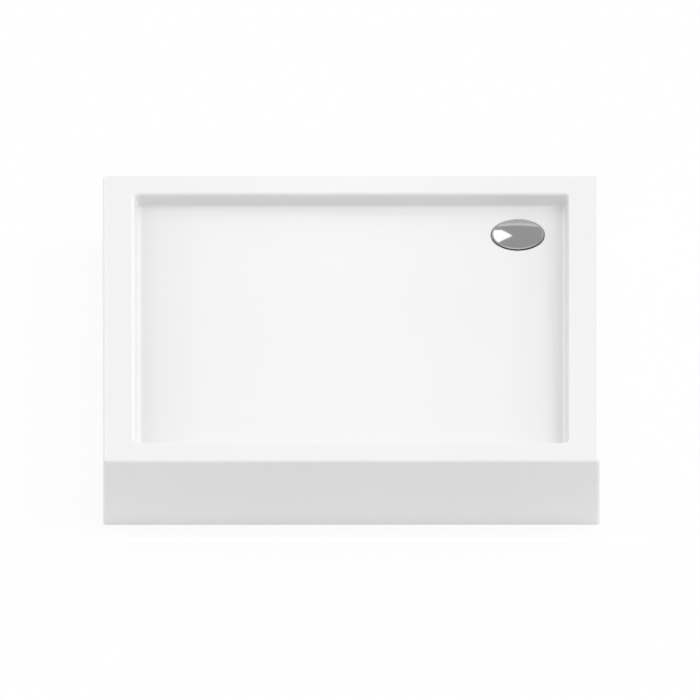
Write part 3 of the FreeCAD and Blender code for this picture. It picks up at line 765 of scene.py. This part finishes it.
reach, level = floorPlane["reach"], floorPlane["level"]
floorCorners = [(-reach, -reach, level), (reach, -reach, level), (reach, reach, level), (-reach, reach, level)]
newStageMesh("paleFloor", floorCorners, [(0, 1, 2, 3)], makeFloor())


# Studio cards round the tray that only reflections show: grey rings for the chrome with a wedge of white in
# front, and a pale card behind each side that runs along the basin's rounded edges.
# A ring is (lowest, highest, grey), and the wedge's corners are (azimuth, elevation), in degrees at the cover
studio = {
    "coverLevel": 0.126, "ringRadius": 3.2, "ringSides": 64,
    "rings": [(11.0, 24.7, 0.5), (24.7, 26.0, 0.62), (26.0, 28.4, 0.86), (28.4, 55.0, 0.47)],
    "wedge": [(-2.29, 38.0), (-6.1, 31.85), (-11.0, 30.2), (-15.3, 45.6)],
    "wedgeLevel": 1.75, "wedgeRadius": 3.0,
    "sideLevel": 6.0, "sideRadius": 9.0, "sideTurn": (17.0, 33.0), "sideHeight": (14.0, 36.0),
}
coverTop = Vector((wastePlace[0], wastePlace[1], studio["coverLevel"]))


def makeGlow(name, level):
    material = bpy.data.materials.new(name)
    tree = bareTree(material)
    glow = addNode(tree, "ShaderNodeEmission", {"Color": (level, level, level, 1), "Strength": 1.0})
    addNode(tree, "ShaderNodeOutputMaterial", {"Surface": glow.outputs["Emission"]})
    return material


def addCard(name, corners, faces, glowName, level):
    card = newStageMesh(name, corners, faces, makeGlow(glowName, level))
    card.visible_camera = False
    card.visible_diffuse = False
    card.visible_transmission = False
    card.visible_volume_scatter = False
    card.visible_shadow = False


def towards(azimuth, elevation):
    a, e = math.radians(azimuth), math.radians(elevation)
    return Vector((math.sin(a) * math.cos(e), math.cos(a) * math.cos(e), math.sin(e)))


def addRing(name, low, high, level):
    count, radius, corners = studio["ringSides"], studio["ringRadius"], []
    for elevation in (low, high):
        rise = coverTop.z + radius * math.tan(math.radians(elevation))
        for i in range(count):
            turn = 2 * math.pi * i / count
            corners.append((radius * math.cos(turn) + coverTop.x, radius * math.sin(turn) + coverTop.y, rise))
    faces = [(i, (i + 1) % count, count + (i + 1) % count, count + i) for i in range(count)]
    addCard(name, corners, faces, name + "Grey", level)


for i, (low, high, level) in enumerate(studio["rings"]):
    addRing("studioRing" + str(i + 1), low, high, level)
corners = [coverTop + towards(*corner) * studio["wedgeRadius"] for corner in studio["wedge"]]
addCard("studioWedge", corners, [(0, 1, 2, 3)], "studioWedgeWhite", studio["wedgeLevel"])
nearTurn, farTurn = studio["sideTurn"]
low, high = studio["sideHeight"]
for side, label in ((-1, "Left"), (1, "Right")):
    places = [(nearTurn, low), (farTurn, low), (farTurn, high), (nearTurn, high)]
    corners = [towards(side * azimuth, elevation) * studio["sideRadius"] for azimuth, elevation in places]
    addCard("sideCard" + label, corners, [(0, 1, 2, 3)], "sideCardWhite" + label, studio["sideLevel"])


# The key light comes softly from the right, and a low strip in front lights the skirt alone
light = {
    "keyTurn": 8.0, "keyHeight": 42.0, "keySpread": 32.0, "keyStrength": 0.68,
    "stripPlace": (0.0, -0.56, 0.006), "stripSize": (1.2, 0.01), "stripPower": 0.036,
}


def addLamp(name, kind, strength, turn, place=(0.0, 0.0, 0.0)):
    lamp = bpy.data.lights.new(name, kind)
    lamp.energy = strength
    made = bpy.data.objects.new(name, lamp)
    made.location = place
    made.rotation_euler = turn
    made.visible_camera = False
    made.visible_glossy = False
    scene.collection.objects.link(made)
    return lamp


turn, height = math.radians(light["keyTurn"]), math.radians(light["keyHeight"])
toSun = Vector((math.cos(turn) * math.cos(height), math.sin(turn) * math.cos(height), math.sin(height)))
key = addLamp("keyLight", "SUN", light["keyStrength"], toSun.to_track_quat("Z", "Y").to_euler())
key.angle = math.radians(light["keySpread"])
strip = addLamp("frontStrip", "AREA", light["stripPower"], (math.radians(90), 0, 0), light["stripPlace"])
strip.shape = "RECTANGLE"
strip.size, strip.size_y = light["stripSize"]


# The sky lights the tray a little more from behind, and is plain white to the camera and in reflections
ambient = {"level": 0.912, "towardsBack": 0.43}


def makeWorld():
    world = bpy.data.worlds.new("paleStudio")
    tree = bareTree(world)
    path = addNode(tree, "ShaderNodeLightPath").outputs
    seen = arithmetic(tree, "MAXIMUM", path["Is Camera Ray"], path["Is Glossy Ray"])
    seen = arithmetic(tree, "MAXIMUM", seen, path["Is Transmission Ray"])
    coords = addNode(tree, "ShaderNodeTexCoord").outputs["Generated"]
    way = addNode(tree, "ShaderNodeSeparateXYZ", {"Vector": coords}).outputs
    sky = arithmetic(tree, "MULTIPLY_ADD", way["Y"], ambient["towardsBack"], ambient["level"])
    dim = addNode(tree, "ShaderNodeBackground", {"Color": (1, 1, 1, 1), "Strength": sky})
    white = addNode(tree, "ShaderNodeBackground", {"Color": (1, 1, 1, 1), "Strength": 1.0})
    mixed = addNode(tree, "ShaderNodeMixShader", {
        "Fac": seen, 1: dim.outputs["Background"], 2: white.outputs["Background"],
    })
    addNode(tree, "ShaderNodeOutputWorld", {"Surface": mixed.outputs["Shader"]})
    scene.world = world


makeWorld()


# The photograph has no perspective, so its camera has none: degrees, metres, and mm for the two shifts
view = {
    "azimuth": 0.05, "elevation": 35.33, "scale": 1.4086, "distance": 5.0, "farthest": 60,
    "rimLevel": 0.155, "shiftRight": -2.77, "shiftUp": -64.0,
}


def addCamera():
    a, e = math.radians(view["azimuth"]), math.radians(view["elevation"])
    forward = Vector((math.sin(a) * math.cos(e), math.cos(a) * math.cos(e), -math.sin(e)))
    right = Vector((math.cos(a), -math.sin(a), 0))
    upward = right.cross(forward)
    aim = Vector((0, 0, view["rimLevel"]))
    aim = aim + right * view["shiftRight"] * mm + upward * view["shiftUp"] * mm
    data = bpy.data.cameras.new("photoCamera")
    data.type = "ORTHO"
    data.ortho_scale = view["scale"]
    data.clip_end = view["farthest"]
    camera = bpy.data.objects.new("photoCamera", data)
    turned = Matrix((right, upward, -forward)).transposed().to_4x4()
    camera.matrix_world = Matrix.Translation(aim - forward * view["distance"]) @ turned
    scene.collection.objects.link(camera)
    scene.camera = camera


addCamera()
scene.view_settings.view_transform = "Standard"
print("studio ready")
